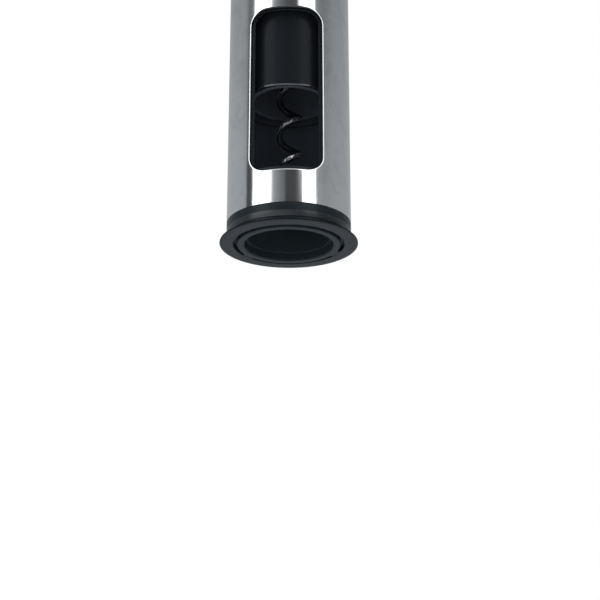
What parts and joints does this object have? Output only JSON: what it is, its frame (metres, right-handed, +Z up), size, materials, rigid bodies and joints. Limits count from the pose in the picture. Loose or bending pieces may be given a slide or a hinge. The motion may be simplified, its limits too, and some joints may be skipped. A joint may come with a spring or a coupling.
{
  "type": "electric wine opener",
  "caption": "Upright electric wine opener: steel tube with a viewing window over a black neck collar, geared worm drive inside, black two-button handle above.",
  "frame": {"origin": "centre of the inner ring's underside, the plane the opener stands on", "axes": "+Z up along the tube, -Y out of the window and buttons, +X to the right seen from the window side"},
  "size_m": [0.051, 0.051, 0.272],
  "materials": {
    "brushed_stainless": "satin, brushed along the tube",
    "polished_chrome": "bright polished plating",
    "black_abs": "moulded ABS, fine satin texture",
    "liner_abs": "moulded ABS, matte",
    "sleeve_acetal": "moulded acetal, semi-gloss",
    "track_acetal": "machined acetal",
    "drive_nylon": "glass-filled nylon",
    "cast_zinc": "die cast, as cast",
    "coated_steel": "slick dark fluoropolymer coating on steel wire",
    "bright_steel": "zinc-plated or ground steel",
    "sintered_steel": "sintered, dull",
    "brass_part": "turned brass",
    "gear_acetal": "natural moulded acetal",
    "gearbox_nylon": "glass-filled nylon",
    "plated_can": "drawn and zinc-plated steel",
    "ferrite": "sintered ferrite",
    "enamelled_copper": "enamelled winding wire on a laminated core",
    "copper": "turned copper segments",
    "endbell_nylon": "moulded nylon",
    "handle_soft": "soft-touch coat over ABS",
    "cap_gloss": "gloss moulded ABS",
    "button_abs": "moulded ABS, satin",
    "arrow_silver": "hot-stamped silver on plastic",
    "plunger_nylon": "moulded nylon",
    "circuit_laminate": "solder-masked glass-epoxy laminate",
    "blue_lens": "clear tinted polycarbonate",
    "cell_wrap": "shrink-wrapped cells",
    "nickel": "spot-welded nickel strip",
    "lead_pvc": "PVC-insulated hook-up wire"
  },
  "bodies": {
    "housing": {"body_tube": "brushed_stainless", "base_collar": "black_abs", "neck_guide": "black_abs", "inner_liner": "liner_abs", "guide_sleeve": "sleeve_acetal", "feed_track": "track_acetal", "sleeve_screws": "bright_steel", "gearbox_plate": "gearbox_nylon", "output_bush": "brass_part", "ring_gear": "gear_acetal", "gearbox_cover": "gearbox_nylon", "gearbox_screws": "bright_steel", "motor_can": "plated_can", "motor_magnets": "ferrite", "motor_endbell": "endbell_nylon", "motor_terminals": "brass_part", "motor_screws": "bright_steel", "handle_front": "handle_soft", "handle_back": "handle_soft", "handle_screws": "bright_steel", "handle_ring": "polished_chrome", "button_bezel": "polished_chrome", "tact_switches": "endbell_nylon", "control_board": "circuit_laminate", "board_parts": "endbell_nylon", "indicator_lens": "blue_lens", "battery_tray": "endbell_nylon", "battery_cells": "cell_wrap", "battery_tabs": "nickel", "motor_leads": "lead_pvc", "top_cap": "cap_gloss", "cap_trim": "polished_chrome", "charge_socket": "endbell_nylon", "charge_pin": "nickel"},
    "drive": {"drive_tube": "drive_nylon", "output_carrier": "sintered_steel", "output_planet_pins": "bright_steel"},
    "worm_carriage": {"worm_holder": "cast_zinc", "cross_pin": "bright_steel", "worm": "coated_steel", "grub_screw": "bright_steel"},
    "output_planet_a": {"output_planet_1": "gear_acetal"},
    "output_planet_b": {"output_planet_2": "gear_acetal"},
    "output_planet_c": {"output_planet_3": "gear_acetal"},
    "sun_stage": {"sun_carrier": "sintered_steel", "input_planet_pins": "bright_steel"},
    "input_planet_a": {"input_planet_1": "gear_acetal"},
    "input_planet_b": {"input_planet_2": "gear_acetal"},
    "input_planet_c": {"input_planet_3": "gear_acetal"},
    "rotor": {"motor_pinion": "brass_part", "armature": "enamelled_copper", "commutator": "copper", "rotor_shaft": "bright_steel"},
    "up_button": {"button_up": "button_abs", "arrow_up": "arrow_silver", "plunger_up": "plunger_nylon"},
    "down_button": {"button_down": "button_abs", "arrow_down": "arrow_silver", "plunger_down": "plunger_nylon"}
  },
  "joints": [
    {"name": "drive_spin", "type": "hinge", "parent": "housing", "child": "drive", "pos_m": [0, 0, 0.1], "axis": [0, 0, -1], "range_deg": [0, 1248]},
    {"name": "worm_feed", "type": "slide", "parent": "drive", "child": "worm_carriage", "axis": [0, 0, -1], "range_m": [0, 0.0521]},
    {"name": "output_planet_a_spin", "type": "hinge", "parent": "drive", "child": "output_planet_a", "pos_m": [0.00877, 0, 0.147], "axis": [0, 0, -1], "range_deg": [-3495, 0]},
    {"name": "output_planet_b_spin", "type": "hinge", "parent": "drive", "child": "output_planet_b", "pos_m": [-0.00439, 0.0076, 0.147], "axis": [0, 0, -1], "range_deg": [-3495, 0]},
    {"name": "output_planet_c_spin", "type": "hinge", "parent": "drive", "child": "output_planet_c", "pos_m": [-0.00439, -0.0076, 0.147], "axis": [0, 0, -1], "range_deg": [-3495, 0]},
    {"name": "sun_stage_spin", "type": "hinge", "parent": "housing", "child": "sun_stage", "pos_m": [0, 0, 0.1514], "axis": [0, 0, -1], "range_deg": [0, 5617]},
    {"name": "input_planet_a_spin", "type": "hinge", "parent": "sun_stage", "child": "input_planet_a", "pos_m": [0.00877, 0, 0.1551], "axis": [0, 0, -1], "range_deg": [-15727, 0]},
    {"name": "input_planet_b_spin", "type": "hinge", "parent": "sun_stage", "child": "input_planet_b", "pos_m": [-0.00439, 0.0076, 0.1551], "axis": [0, 0, -1], "range_deg": [-15727, 0]},
    {"name": "input_planet_c_spin", "type": "hinge", "parent": "sun_stage", "child": "input_planet_c", "pos_m": [-0.00439, -0.0076, 0.1551], "axis": [0, 0, -1], "range_deg": [-15727, 0]},
    {"name": "rotor_spin", "type": "hinge", "parent": "housing", "child": "rotor", "pos_m": [0, 0, 0.18], "axis": [0, 0, -1], "range_deg": [0, 25275]},
    {"name": "up_press", "type": "slide", "parent": "housing", "child": "up_button", "axis": [0, 1, 0], "range_m": [0, 0.0008], "stiffness_N_per_m": 1200, "springref_m": -0.0006},
    {"name": "down_press", "type": "slide", "parent": "housing", "child": "down_button", "axis": [0, 1, 0], "range_m": [0, 0.0008], "stiffness_N_per_m": 1200, "springref_m": -0.0006}
  ],
  "couplings": [
    {"joint": "worm_feed", "follows": "drive_spin", "m_per_rad": 0.0023873},
    {"joint": "output_planet_a_spin", "follows": "drive_spin", "ratio": -2.8},
    {"joint": "output_planet_b_spin", "follows": "drive_spin", "ratio": -2.8},
    {"joint": "output_planet_c_spin", "follows": "drive_spin", "ratio": -2.8},
    {"joint": "sun_stage_spin", "follows": "drive_spin", "ratio": 4.5},
    {"joint": "input_planet_a_spin", "follows": "drive_spin", "ratio": -12.6},
    {"joint": "input_planet_b_spin", "follows": "drive_spin", "ratio": -12.6},
    {"joint": "input_planet_c_spin", "follows": "drive_spin", "ratio": -12.6},
    {"joint": "rotor_spin", "follows": "drive_spin", "ratio": 20.25}
  ]
}
